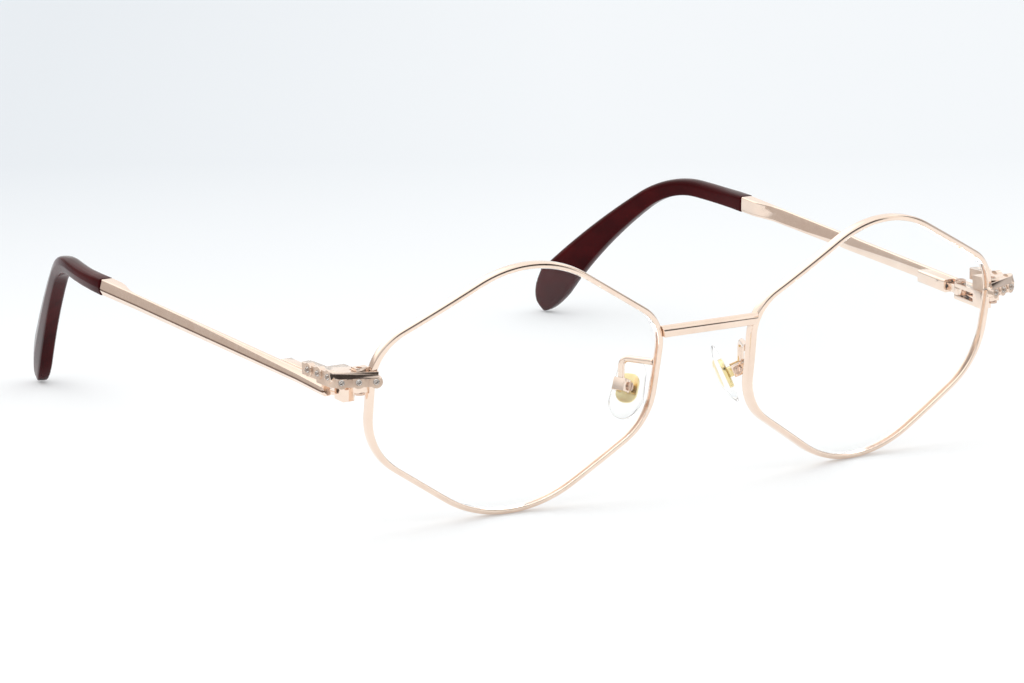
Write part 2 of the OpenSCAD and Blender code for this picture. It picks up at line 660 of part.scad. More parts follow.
// Pad frame: origin in the middle of the pad, Z up along it, Y towards its back edge, X outwards.
module pad_frame() {
    translate([pad_x, pad_y, pad_z]) rotate([0, -pad_lean, -pad_splay]) children();
}

// Wire that runs back from the rim and bends down to the pad box.
module arm_wire(drop) {
    translate([0, -0.6, 0]) rotate([-90, 0, 0]) cylinder(d = arm_d, h = arm_run - arm_bend_r + 0.6);
    translate([0, arm_run - arm_bend_r, -arm_bend_r]) rotate([90, 0, 90])
        rotate_extrude(angle = 90, $fn = 48) translate([arm_bend_r, 0]) circle(d = arm_d);
    translate([0, arm_run, -drop]) cylinder(d = arm_d, h = drop - arm_bend_r);
}

module left_pad_arm() {
    drop = arm_foot[2] - box_top[2] + 0.5;
    color("#e3b899") placed() difference() {
        intersection() {
            translate(arm_foot) rotate([0, 0, -arm_turn]) arm_wire(drop);
            eye_frame() behind_surface(rim_wire_d + film);
        }
        pad_frame() translate([box_in, box_y - box_w / 2 - 1, -box_h / 2 - 4]) cube([6, box_w + 2, box_h + 4 + film]);
    }
}

module left_pad_box() {
    color("#e3b899") placed() pad_frame() difference() {
        translate([box_in, box_y - box_w / 2, -box_h / 2]) cube([box_out - box_in, box_w, box_h]);
        translate([box_in - 1, box_y - tab_w / 2 - run_clear, -box_h])
            cube([pad_axis - box_in + 2.1, tab_w + 2 * run_clear, 2 * box_h]);
        translate([pad_axis, box_y - box_w, 0]) rotate([-90, 0, 0]) cylinder(d = pad_screw_d + film, h = 2 * box_w);
    }
}

module left_pad_screw() {
    color("#c99a7a") placed() pad_frame() translate([pad_axis, box_y - box_w / 2, 0]) rotate([-90, 0, 0]) difference() {
        union() {
            translate([0, 0, -0.45 - film]) cylinder(d = 1.5, h = 0.45);
            translate([0, 0, -0.2]) cylinder(d = pad_screw_d, h = box_w + 0.15);
        }
        translate([-0.1, -1, -0.5 - film]) cube([0.2, 2, 0.22]);
    }
}

// Metal core inside the pad, with the tab that turns on the pad screw; grow widens it for its pocket.
module pad_core_shape(grow) {
    translate([0.2 - grow, 0, 0]) rotate([90, 0, 90]) linear_extrude(0.5 + 2 * grow) rounded(
        [[-plate_w / 2, plate_l / 2], [plate_w / 2, plate_l / 2], [plate_w / 2, -plate_l / 2],
         [-plate_w / 2, -plate_l / 2]], [1.6, 1.6, 1.8, 1.8], -grow);
    translate([0.45, box_y - tab_w / 2 - grow, -0.85 - grow])
        cube([pad_axis - 0.45, tab_w + 2 * grow, 1.7 + 2 * grow]);
}

module left_pad_core() {
    color("#d6a67f") placed() pad_frame() difference() {
        union() {
            pad_core_shape(0);
            translate([pad_axis, box_y - tab_w / 2, 0]) rotate([-90, 0, 0]) cylinder(r = 0.85, h = tab_w);
        }
        translate([pad_axis, box_y - box_w, 0]) rotate([-90, 0, 0])
            cylinder(d = pad_screw_d + 2 * run_clear, h = 2 * box_w);
    }
}

module left_nose_pad() {
    low_r = pad_w / 2;
    top_r = pad_w * 0.42;
    span = pad_l - low_r - top_r;
    dome = (pad_l * pad_l / 4 + pad_t * pad_t) / (2 * pad_t) * 1.35;
    lean = asin((low_r - top_r) / span);
    color("#f2efe2", 0.5) placed() pad_frame() difference() {
        intersection() {
            translate([-pad_t, 0, -pad_l / 2 + low_r]) rotate([90, 0, 90]) linear_extrude(2 * pad_t)
                polygon(concat(
                    [for (k = [0:20]) let (a = 90 - lean + (360 - 180 + 2 * lean) * k / 20)
                        low_r * [sin(a), cos(a)]],
                    [for (k = [0:14]) let (a = lean - 90 + (180 - 2 * lean) * k / 14)
                        [0, span] + top_r * [sin(a), cos(a)]]));
            translate([dome - pad_t / 2 - 0.15, 0, 0]) sphere(r = dome, $fn = 240);
            translate([pad_back - 3 * dome, 0, 0]) sphere(r = 3 * dome, $fn = 300);
        }
        pad_core_shape(film);
    }
}

module right_rim() { mirrored() left_rim(); }
module right_lens() { mirrored() left_lens(); }
module right_closing_block_upper() { mirrored() left_closing_block_upper(); }
module right_closing_block_lower() { mirrored() left_closing_block_lower(); }
module right_closing_screw() { mirrored() left_closing_screw(); }
module right_end_piece() { mirrored() left_end_piece(); }
module right_end_piece_stones() { mirrored() left_end_piece_stones(); }
module right_hinge_leaf() { mirrored() left_hinge_leaf(); }
module right_hinge_screw() { mirrored() left_hinge_screw(); }
module right_hinge_slider() { mirrored() left_hinge_slider(); }
module right_hinge_spring() { mirrored() left_hinge_spring(); }
module right_spring_stop() { mirrored() left_spring_stop(); }
module right_spring_housing() { mirrored() left_spring_housing(); }
module right_temple_bar() { mirrored() left_temple_bar(); }
module right_temple_tip() { mirrored() left_temple_tip(); }
module right_pad_arm() { mirrored() left_pad_arm(); }
module right_pad_box() { mirrored() left_pad_box(); }
module right_pad_screw() { mirrored() left_pad_screw(); }
module right_pad_core() { mirrored() left_pad_core(); }
module right_nose_pad() { mirrored() left_nose_pad(); }

bridge();
right_rim();
right_lens();
right_closing_block_upper();
right_closing_block_lower();
right_closing_screw();
right_end_piece();
right_end_piece_stones();
right_hinge_leaf();
right_hinge_screw();
right_hinge_slider();
right_hinge_spring();
right_spring_stop();
right_spring_housing();
right_temple_bar();
right_temple_tip();
right_pad_arm();
right_pad_box();
right_pad_screw();
right_pad_core();
right_nose_pad();
left_rim();
left_lens();
left_closing_block_upper();
left_closing_block_lower();
left_closing_screw();
left_end_piece();
left_end_piece_stones();
left_hinge_leaf();
left_hinge_screw();
left_hinge_slider();
left_hinge_spring();
left_spring_stop();
left_spring_housing();
left_temple_bar();
left_temple_tip();
left_pad_arm();
left_pad_box();
left_pad_screw();
left_pad_core();
left_nose_pad();
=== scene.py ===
# Rose gold eyeglass frame with spring hinges, burgundy temple tips and clear nose pads, on a white table.
import json
from math import asin, atan2, acos, ceil, cos, degrees, hypot, pi, radians, sin, sqrt, tan

import bmesh
import bpy
from mathutils import Matrix, Vector


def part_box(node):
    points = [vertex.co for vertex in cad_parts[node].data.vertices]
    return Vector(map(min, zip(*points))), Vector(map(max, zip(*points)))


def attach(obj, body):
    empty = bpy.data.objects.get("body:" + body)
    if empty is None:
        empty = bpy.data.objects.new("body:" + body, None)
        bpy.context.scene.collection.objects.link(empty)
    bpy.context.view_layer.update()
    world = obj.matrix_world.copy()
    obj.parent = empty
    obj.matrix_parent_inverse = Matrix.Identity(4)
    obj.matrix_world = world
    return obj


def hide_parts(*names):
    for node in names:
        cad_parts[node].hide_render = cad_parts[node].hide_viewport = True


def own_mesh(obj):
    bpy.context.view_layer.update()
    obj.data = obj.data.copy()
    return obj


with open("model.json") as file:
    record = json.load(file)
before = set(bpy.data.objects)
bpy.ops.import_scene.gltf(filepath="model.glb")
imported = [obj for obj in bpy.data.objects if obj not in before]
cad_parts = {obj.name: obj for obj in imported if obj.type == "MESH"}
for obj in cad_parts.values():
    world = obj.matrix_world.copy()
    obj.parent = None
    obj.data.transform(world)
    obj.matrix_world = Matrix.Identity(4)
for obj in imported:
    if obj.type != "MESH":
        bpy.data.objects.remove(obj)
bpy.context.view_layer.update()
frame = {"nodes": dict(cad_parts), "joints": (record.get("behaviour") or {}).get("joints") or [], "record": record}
record = frame["record"]
body_of = {node: body for body, nodes in record["behaviour"]["bodies"].items() for node in nodes}
joint_of = {joint["name"]: joint for joint in frame["joints"]}

MM = Matrix.Scale(0.001, 4)
MIRROR = Matrix.Scale(-1, 4, (1, 0, 0))

# Where the measures below start, in millimetres: in the middle, at the rims' foremost plane and near the table.
FRONT_AT = Vector((0, -74.2157, 0.0646))


# Materials.
def new_material(name):
    """Principled material, with its parts and the place on the object that patterns follow."""
    material = bpy.data.materials.new(name)
    material.use_nodes = True
    tree = material.node_tree
    tree.nodes.clear()
    shader = tree.nodes.new("ShaderNodeBsdfPrincipled")
    output = tree.nodes.new("ShaderNodeOutputMaterial")
    tree.links.new(shader.outputs[0], output.inputs[0])
    where = tree.nodes.new("ShaderNodeTexCoord")
    return material, tree, shader, output, where.outputs["Object"]


def noise(tree, where, scale, detail=3.0, stretch=None):
    """Cloudy values between 0 and 1, finer with a higher scale."""
    if stretch:
        mapping = tree.nodes.new("ShaderNodeMapping")
        mapping.inputs["Scale"].default_value = stretch
        tree.links.new(where, mapping.inputs[0])
        where = mapping.outputs[0]
    texture = tree.nodes.new("ShaderNodeTexNoise")
    texture.inputs["Scale"].default_value = scale
    texture.inputs["Detail"].default_value = detail
    tree.links.new(where, texture.inputs["Vector"])
    return texture.outputs["Fac"]


def ramp(tree, value, stops):
    """Turns values into colours, given as stops of a place and a colour."""
    node = tree.nodes.new("ShaderNodeValToRGB")
    for k, (place, colour) in enumerate(stops):
        stop = node.color_ramp.elements[k] if k < 2 else node.color_ramp.elements.new(place)
        stop.position = place
        stop.color = (*colour, 1)
    tree.links.new(value, node.inputs[0])
    return node.outputs[0]


def span(tree, value, low, high, from_low=0.3, from_high=0.7):
    """Maps values from one range to another."""
    node = tree.nodes.new("ShaderNodeMapRange")
    for socket, number in zip(node.inputs[1:5], (from_low, from_high, low, high)):
        socket.default_value = number
    tree.links.new(value, node.inputs[0])
    return node.outputs[0]


def combine(tree, operation, *values):
    """Calculates with numbers and the outputs of other nodes."""
    node = tree.nodes.new("ShaderNodeMath")
    node.operation = operation
    for socket, value in zip(node.inputs, values):
        if isinstance(value, (int, float)):
            socket.default_value = value
        else:
            tree.links.new(value, socket)
    return node.outputs[0]


def toward(tree, where, direction, start, end):
    """Goes from 0 to 1 while a place's measure along a direction goes from start to end."""
    dot = tree.nodes.new("ShaderNodeVectorMath")
    dot.operation = "DOT_PRODUCT"
    dot.inputs[1].default_value = Vector(direction).normalized()
    tree.links.new(where, dot.inputs[0])
    return span(tree, dot.outputs["Value"], 0.0, 1.0, start, end)


def bump(tree, shader, height, strength, distance=0.00005):
    """Lets heights, of a depth in metres, roughen the surface."""
    node = tree.nodes.new("ShaderNodeBump")
    node.inputs["Strength"].default_value = strength
    node.inputs["Distance"].default_value = distance
    tree.links.new(height, node.inputs["Height"])
    tree.links.new(node.outputs[0], shader.inputs["Normal"])


def plated(name, light, deep, smooth, worn, polish_scale=9000, polish=0.05):
    """Polished plating: clouded colour, fine polishing lines and slightly duller patches."""
    material, tree, shader, output, where = new_material(name)
    shader.inputs["Metallic"].default_value = 1
    clouds = noise(tree, where, 260, 4)
    tree.links.new(ramp(tree, clouds, [(0.3, deep), (0.72, light)]), shader.inputs["Base Color"])
    tree.links.new(span(tree, noise(tree, where, 900, 5), smooth, worn), shader.inputs["Roughness"])
    bump(tree, shader, noise(tree, where, polish_scale, 2, (1, 0.15, 1)), polish)
    return material


def clear(name, tint, cloud, ior, smooth, hazy, haze_scale=350, bumpy=0.02, coat_ior=None):
    """Clear solid that lets the lamps through: its colour and haze vary a little from place to place."""
    material, tree, shader, output, where = new_material(name)
    shader.inputs["Transmission Weight"].default_value = 1
    shader.inputs["IOR"].default_value = ior
    if coat_ior:
        shader.inputs["Coat Weight"].default_value = 1
        shader.inputs["Coat IOR"].default_value = coat_ior
        shader.inputs["Coat Roughness"].default_value = 0
    clouds = noise(tree, where, haze_scale, 3)
    tree.links.new(ramp(tree, clouds, [(0.3, cloud), (0.7, tint)]), shader.inputs["Base Color"])
    tree.links.new(span(tree, clouds, smooth, hazy), shader.inputs["Roughness"])
    bump(tree, shader, noise(tree, where, 700, 2), bumpy)
    through = tree.nodes.new("ShaderNodeBsdfTransparent")
    mix = tree.nodes.new("ShaderNodeMixShader")
    path = tree.nodes.new("ShaderNodeLightPath")
    tree.links.new(path.outputs["Is Shadow Ray"], mix.inputs[0])
    tree.links.new(shader.outputs[0], mix.inputs[1])
    tree.links.new(through.outputs[0], mix.inputs[2])
    tree.links.new(mix.outputs[0], output.inputs[0])
    return material


rose_gold = plated("rose_gold_plating", light=(0.935, 0.77, 0.65), deep=(0.885, 0.71, 0.59),
                   smooth=0.08, worn=0.17)
# Dark plating: painted shade in the rims' split and along the temple bars' engraved line.
painted_shade_gold = plated("rose_gold_painted_shade", light=(0.26, 0.17, 0.12), deep=(0.18, 0.11, 0.08), smooth=0.25, worn=0.4)
screw_gold = plated("screw_plating", light=(0.74, 0.55, 0.44), deep=(0.60, 0.43, 0.34), smooth=0.18, worn=0.32,
                    polish_scale=6000, polish=0.12)
plate_gold = plated("yellow_gold_plate", light=(0.97, 0.87, 0.56), deep=(0.86, 0.70, 0.34),
                    smooth=0.14, worn=0.26)
steel = plated("drawn_spring_steel", light=(0.62, 0.63, 0.66), deep=(0.48, 0.49, 0.52), smooth=0.2, worn=0.34,
               polish_scale=7000, polish=0.1)
# Beaded plating: real bumps, with a darker colour that is painted shade among the beads.
bead_shade_gold = plated("beaded_rose_gold_painted_shade", light=(0.74, 0.585, 0.475), deep=(0.57, 0.43, 0.34),
                     smooth=0.4, worn=0.52, polish_scale=2600, polish=0.5)

# Clear materials; how far they bend the light is given for each.
lens_glass = clear("clear_lens", tint=(1.0, 1.0, 1.0), cloud=(0.985, 0.995, 0.99), ior=1.05,
                   smooth=0.0, hazy=0.01, haze_scale=120, bumpy=0.004, coat_ior=1.28)
crystal = clear("cut_crystal", tint=(1.0, 0.95, 0.89), cloud=(0.9, 0.84, 0.78), ior=1.95,
                smooth=0.0, hazy=0.04, haze_scale=1500, bumpy=0.01)
silicone = clear("clear_silicone", tint=(1.0, 1.0, 0.992), cloud=(0.985, 0.98, 0.96), ior=1.14,
                 smooth=0.1, hazy=0.22, haze_scale=500, bumpy=0.03)


def burgundy_plastic():
    """Glossy dark burgundy cellulose plastic with faint darker streaks along it."""
    material, tree, shader, output, where = new_material("burgundy_tip_plastic")
    streaks = noise(tree, where, 240, 5, (1.4, 0.35, 1))
    tree.links.new(ramp(tree, streaks, [(0.3, (0.034, 0.002, 0.003)), (0.75, (0.074, 0.004, 0.005))]),
                   shader.inputs["Base Color"])
    tree.links.new(span(tree, noise(tree, where, 900, 4), 0.1, 0.2), shader.inputs["Roughness"])
    shader.inputs["IOR"].default_value = 1.15
    bump(tree, shader, noise(tree, where, 1800, 3), 0.05)
    return material


burgundy = burgundy_plastic()


# Mesh helpers.
def skin(bm, rings, caps=True):
    """Draws a closed tube through rings of points: each ring is extruded from the one before."""
    count = len(rings[0])
    ring = [bm.verts.new(p) for p in rings[0]]
    edges = [bm.edges.new((ring[k], ring[(k + 1) % count])) for k in range(count)]
    first = edges
    for points in rings[1:]:
        made = bmesh.ops.extrude_edge_only(bm, edges=edges)
        fresh = {v for v in made["geom"] if isinstance(v, bmesh.types.BMVert)}
        follow = [next(e.other_vert(v) for e in v.link_edges if e.other_vert(v) in fresh) for v in ring]
        for vert, point in zip(follow, points):
            vert.co = point
        ring = follow
        edges = [bm.edges.get((ring[k], ring[(k + 1) % count])) for k in range(count)]
    if caps:
        bmesh.ops.edgeloop_fill(bm, edges=first)
        bmesh.ops.edgeloop_fill(bm, edges=edges)


def round_angles(count, twist=0.0):
    """Angles of a round ring's points, turned by twist as a share of one step."""
    return [2 * pi * (k + twist) / count for k in range(count)]


def finish_mesh(bm, name, place, mirror=False):
    """Closes a bmesh into an object whose place is in its mesh."""
    bmesh.ops.transform(bm, matrix=place, verts=bm.verts)
    if mirror:
        bmesh.ops.transform(bm, matrix=MIRROR, verts=bm.verts)
    bmesh.ops.recalc_face_normals(bm, faces=bm.faces)
    mesh = bpy.data.meshes.new(name)
    bm.to_mesh(mesh)
    bm.free()
    piece = bpy.data.objects.new(name, mesh)
    bpy.context.scene.collection.objects.link(piece)
    return piece


def shade(piece, angle=35):
    """Smooth faces, with the edges sharper than angle left crisp."""
    for face in piece.data.polygons:
        face.use_smooth = True
    piece.data.set_sharp_from_angle(angle=radians(angle))


def dress(piece, node, *materials):
    """Lets piece stand for a node: same body, the given materials, and the node hidden."""
    for material in materials:
        piece.data.materials.append(material)
    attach(piece, body_of[node])
    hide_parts(node)
    return piece


def both_sides(part, label, draw, place, materials, angle=35):
    """Draws a piece for the wearer's left side and its mirror image for the right side."""
    for side in ("left", "right"):
        bm = bmesh.new()
        draw(bm)
        piece = finish_mesh(bm, f"{side}_{label}", place, side == "right")
        shade(piece, angle)
        dress(piece, f"{side}_{part}", *materials)


# Width in millimetres of a rounded edge's easing, its number of segments, and that of a plain edge's easing.
ROUNDING, ROUNDING_SEGMENTS, EASING_SEGMENTS = 0.34, 8, 2
# Points of a machined node that are no farther apart than this, in metres, are merged, and so are faces that meet
# at no more than this angle, in degrees.
SAME_POINT, SAME_FACE = 2e-6, 0.8


def eased_copy(node, label, width, *materials, angle=30, rounded=None, beaded=None):
    """Copy of a machined node with its edges eased by width. Edges that rounded() picks get the wider easing, and
    faces whose normals beaded() picks get the second material, on the end pieces a darker beaded plating that is
    painted shade among the beads."""
    bm = bmesh.new()
    bm.from_mesh(frame["nodes"][node].data)
    bmesh.ops.remove_doubles(bm, verts=bm.verts, dist=SAME_POINT)
    bmesh.ops.dissolve_limit(bm, angle_limit=radians(SAME_FACE), verts=bm.verts, edges=bm.edges)
    for wide in (True, False) if rounded else (False,):
        sharp = [e for e in bm.edges if len(e.link_faces) == 2 and e.calc_face_angle() > radians(angle)
                 and (not rounded or rounded(e) == wide)]
        bmesh.ops.bevel(bm, geom=sharp, offset=(ROUNDING if wide else width) * 0.001, offset_type="OFFSET",
                        affect="EDGES", segments=ROUNDING_SEGMENTS if wide else EASING_SEGMENTS,
                        profile=0.5, material=-1, clamp_overlap=not rounded)
    if beaded:
        for face in bm.faces:
            face.material_index = 1 if beaded(face.normal) else 0
    piece = finish_mesh(bm, label, Matrix.Identity(4))
    shade(piece, angle=28)
    return dress(piece, node, *materials)


# Rims and lenses, in millimetres.
RIM_W, RIM_H = 55.6, 53.4
# Radius of the lens surface, and how high its foremost point lies over the eye's middle.
LENS_R, LENS_DROP = 177.8, 27.7
# The eye's middle, and by how many degrees its outer side turns back and its top leans forward.
EYE_X, EYE_Z, WRAP, TILT = 36.9, 22.65, 5.1, 2.7
# Corners of the outline as shares of half its width and height, clockwise from the top, and their radii.
CORNERS = [(-0.044, 0.965), (1, 0.3715), (0.991, -0.34), (-0.01, -1.035), (-0.9655, -0.3545), (-1, 0.348)]
CORNER_R = [20.2, 10.2, 13.2, 22, 11.5, 8.9]
# Height of the rim's split on its temple side, and half its width.
SPLIT_T, SPLIT_HALF = 4.6, 0.16
# The lens: how far its edge lies inside the rim's outside, and depth of its front and back.
LENS_IN, LENS_FRONT, LENS_BACK = 1.03, 0.2, 1.7

AHEAD_Z = EYE_Z + LENS_DROP * cos(radians(TILT))
EYE_PLACE = (MM @ Matrix.Translation(FRONT_AT + Vector((EYE_X, 0, AHEAD_Z)))
             @ Matrix.Rotation(radians(TILT), 4, "X") @ Matrix.Rotation(radians(WRAP), 4, "Z")
             @ Matrix.Rotation(radians(90), 4, "X") @ Matrix.Translation((0, -LENS_DROP, 0)))


def rim_outline(inset):
    """Points round a rim's outline, drawn in by inset, clockwise from its top corner."""
    points = [Vector((x * RIM_W / 2, y * RIM_H / 2)) for x, y in CORNERS]
    arcs = []
    for k, corner in enumerate(points):
        back = (points[k - 1] - corner).normalized()
        on = (points[(k + 1) % 6] - corner).normalized()
        half = acos(back.dot(on)) / 2
        r = CORNER_R[k]
        middle = corner + (back + on).normalized() * r / sin(half)
        start = corner + back * r / tan(half) - middle
        end = corner + on * r / tan(half) - middle
        sweep = atan2(start.x * end.y - start.y * end.x, start.dot(end))
        steps = ceil(abs(degrees(sweep)) / 3)
        turn = atan2(start.y, start.x)
        arcs.append([middle + (r - inset) * Vector((cos(turn + sweep * i / steps), sin(turn + sweep * i / steps)))
                     for i in range(steps + 1)])
    outline = []
    for k, arc in enumerate(arcs):
        outline += arc
        after = arcs[(k + 1) % 6][0]
        outline += [arc[-1].lerp(after, i / 10) for i in range(1, 10)]
    return outline


def on_lens(point, depth):
    """Place at a depth behind the lens surface, in the eye's space."""
    sag = LENS_R - sqrt(LENS_R ** 2 - point.x ** 2 - (point.y - LENS_DROP) ** 2)
    return Vector((point.x, point.y, -sag - depth))


# Section of the rim wire: distance inwards from its outside, and depth from its front.
RIM_SECTION = [(0.0, 0.6), (0.02, 0.42), (0.08, 0.25), (0.19, 0.13), (0.34, 0.07), (0.5, 0.015), (0.6, 0.0),
               (0.78, 0.0), (0.9, 0.04), (0.97, 0.12), (1.0, 0.24), (1.0, 0.5), (0.97, 0.55), (0.62, 0.58),
               (0.6, 0.65), (0.6, 1.25), (0.62, 1.32), (0.97, 1.35), (1.0, 1.4), (1.0, 1.68), (0.96, 1.81),
               (0.86, 1.88), (0.72, 1.9), (0.25, 1.9), (0.1, 1.86), (0.03, 1.77), (0.0, 1.62)]


def from_split(outline):
    """The same outline, cut open at the rim's split on its temple side."""
    start = next(k for k, p in enumerate(outline) if p.x > RIM_W / 3 and p.y < SPLIT_T - SPLIT_HALF)
    loop = outline[start:] + outline[:start]
    low, high = loop[0], loop[-1]
    ends = [low.lerp(high, (y - low.y) / (high.y - low.y)) for y in (SPLIT_T - SPLIT_HALF, SPLIT_T + SPLIT_HALF)]
    return ends[:1] + loop + ends[1:]


def draw_rim(bm):
    """Rim wire from one side of its split round to the other; the split's two faces get the dark material, painted
    shade in the gap.
    """
    lines = {u: from_split(rim_outline(u)) for u in {u for u, v in RIM_SECTION}}
    stations = len(lines[0.0])
    skin(bm, [[on_lens(lines[u][k], v) for u, v in RIM_SECTION] for k in range(stations)])
    # The split's end faces take the dark material as painted shade.
    for face in bm.faces:
        if len(face.verts) > 4:
            face.material_index = 1


def draw_lens(bm):
    """Lens as rings from the middle of its front over the edge to the middle of its back."""
    rim = rim_outline(LENS_IN)
    scales = [0.03, 0.12, 0.25, 0.4, 0.55, 0.7, 0.82, 0.92, 0.985]
    sections = [(k, LENS_FRONT) for k in scales] + [(0.998, LENS_FRONT + 0.01)]
    sections += [(1, depth) for depth in (LENS_FRONT + 0.06, 0.6, 0.95, 1.3, LENS_BACK - 0.06)]
    sections += [(0.998, LENS_BACK - 0.01)] + [(k, LENS_BACK) for k in reversed(scales)]
    skin(bm, [[on_lens(p * k, depth) for p in rim] for k, depth in sections])


both_sides("rim", "rim_wire", draw_rim, EYE_PLACE, [rose_gold, painted_shade_gold], angle=40)
both_sides("lens", "lens_glass", draw_lens, EYE_PLACE, [lens_glass], angle=25)


# Temples, in the hinge's space: pin in the middle, X out, Y back along the temple, Z up, in millimetres.
pin = Vector(joint_of["left_temple_fold"]["pos_m"])
up_axis = Vector(joint_of["left_temple_fold"]["axis"])
back_axis = Vector(joint_of["left_spring_extend"]["axis"])
out_axis = back_axis.cross(up_axis)
HINGE_PLACE = Matrix.Translation(pin) @ Matrix((out_axis, back_axis, up_axis)).transposed().to_4x4() @ MM

# Temple bar: inner side, thickness, height, length behind the pin and ahead of it.
BAR_IN, BAR_T, BAR_H, BAR_L, BAR_NOSE = 1.2, 1.4, 2.45, 73.5, 4.9
# Height, width, outer side and middle height of its back end.
BAR_END_H, BAR_END_W, BAR_END_OUT, BAR_END_Z = 2.9, 2.7, 2.8, -0.1
# From where to where its head tapers to the plain width, and by how much the head is wider.
HEAD_FROM, HEAD_TO, HEAD_WIDER = -3.5, 5, 0.38
# Where the outer side begins to widen towards the back end, and from where to where the inner side widens.
OUT_FROM, FLARE_FROM, FLARE_TO = 61, 63.0, 70.0
# Place of the engraved line as a share of the height, counted from the top; lean of the outer face above it, and
# of the inner face above its foot.
LINE_SHARE, FACE_LEAN, INNER_LEAN = 0.63, 0.22, 0.25


def eased(t):
    """Smooth step from 0 to 1."""
    t = max(0.0, min(1.0, t))
    return t * t * (3 - 2 * t)


def between(y, y0, y1, a, b):
    """Goes straight from a to b while y goes from y0 to y1."""
    return a + (b - a) * max(0.0, min(1.0, (y - y0) / (y1 - y0)))


def bar_ring(y, inset=0.0):
    """Section of the temple bar: flat top, two leaning outer facets that meet at a crest, engraved line, lower
    bevel, and an inner face that leans above its foot."""
    inner = BAR_IN + (BAR_END_OUT - BAR_END_W - BAR_IN) * eased((y - FLARE_FROM) / (FLARE_TO - FLARE_FROM)) + inset
    outer = between(y, OUT_FROM, BAR_L, BAR_IN + BAR_T, BAR_END_OUT)
    outer += between(y, HEAD_FROM, HEAD_TO, HEAD_WIDER, 0.0) - inset
    top = between(y, HEAD_TO, BAR_L, BAR_H / 2, BAR_END_Z + BAR_END_H / 2) - inset
    low = between(y, HEAD_TO, BAR_L, -BAR_H / 2, BAR_END_Z - BAR_END_H / 2) + inset
    line = BAR_H / 2 - LINE_SHARE * BAR_H + (low + BAR_H / 2) * 0.4
    crest = between(y, 0, 40, top - 0.85, top - 0.16)
    slope = between(y, -2, 60, 0.6, 0.45)
    edge_x = outer - 0.03 - FACE_LEAN * (crest - line - 0.27)
    edge_top = edge_x - slope * (top - 0.12 - crest)
    foot = between(y, 18, 55, top - 0.85, low + 0.45)
    head_x = inner + INNER_LEAN * (top - 0.28 - foot) * (1 - eased((y - 60) / 10))
    return [Vector((x, y, z)) for x, z in (
        (inner, foot - 0.05), (inner + 0.02, foot + 0.05),
        (inner + (head_x - inner) * 0.5, (foot + top - 0.28) / 2),
        (head_x, top - 0.28), (head_x + 0.06, top - 0.1), (head_x + 0.16, top),
        (edge_top - 0.1, top), (edge_top - 0.04, top - 0.03), (edge_top, top - 0.12), (edge_x, crest),
        (outer - 0.03, line + 0.27), (outer, line + 0.17), (outer - 0.11, line + 0.11),
        (outer - 0.11, line - 0.1), (outer - 0.02, line - 0.15), (outer - 0.05, line - 0.22),
        (outer - 0.42, low + 0.2), (outer - 0.49, low + 0.06), (outer - 0.6, low),
        (inner + 0.3, low), (inner + 0.12, low + 0.06), (inner + 0.02, low + 0.35))]


# Places in a bar's section of the engraved line's upper and lower edge.
LINE_TOP, LINE_FOOT = 11, 14


# Temple tip: length, straight part, bend's radius, and angles of the bend, of the tail after it and inwards;
# then its height at the front and the end, length of the rounded end, and thickness; and the metal core in it.
TIP_L, TIP_STRAIGHT, TIP_BEND_R, TIP_BEND, TIP_TAIL, TIP_IN = 67.1, 14.7, 23.8, 36.8, 14.85, 20.0
TIP_H, TIP_END_H, TIP_ROUND, TIP_T = 3.1, 7.7, 7.6, 3.1
CORE_L, CORE_HALF_T, CORE_HALF_H = 49.9, 0.44, 0.78
# Length of the bend, and the length on which the tip turns inwards.
BEND_L = TIP_BEND_R * radians(TIP_BEND)
TURN_L = TIP_STRAIGHT + BEND_L * 0.75


def tip_turns(s):
    """How far the tip has turned down and inwards at a length."""
    pitch = TIP_BEND * max(0, min(1, (s - TIP_STRAIGHT) / BEND_L))
    pitch += TIP_TAIL * max(0, (s - TIP_STRAIGHT - BEND_L) / (TIP_L - TIP_STRAIGHT - BEND_L))
    return radians(pitch), radians(TIP_IN * max(0, min(1, s / TURN_L)))


def tip_dir(s):
    """Direction of the tip's middle line at a length."""
    pitch, yaw = tip_turns(s)
    return Vector((-sin(yaw) * cos(pitch), cos(yaw) * cos(pitch), -sin(pitch)))


# The tip's middle line, one millimetre a step.
TIP_LINE = [Vector((BAR_END_OUT - BAR_END_W / 2, BAR_L, BAR_END_Z - 0.05))]
for step in range(int(TIP_L) + 2):
    TIP_LINE.append(TIP_LINE[-1] + tip_dir(step + 0.5))


def tip_frame(s):
    """Middle of the tip at a length, with its outward and upward directions."""
    k = max(0, int(s // 1))
    place = TIP_LINE[k] + (s - k) * tip_dir((s + k) / 2)
    yaw = tip_turns(s)[1]
    out = Vector((cos(yaw), sin(yaw), 0))
    return place, out, out.cross(tip_dir(s))


def tip_size(s):
    """Half the tip's height at a length, and the share of it that the rounded end leaves."""
    share = max(0, min(1, (s - TIP_STRAIGHT) / (TIP_L - TIP_ROUND - TIP_STRAIGHT)))
    half = (TIP_H + (TIP_END_H - TIP_H) * share ** 1.9) / 2
    cap = max(0, 1 - max(0, (s - TIP_L + TIP_ROUND) / TIP_ROUND) ** 2.3) ** 0.5
    return half, cap


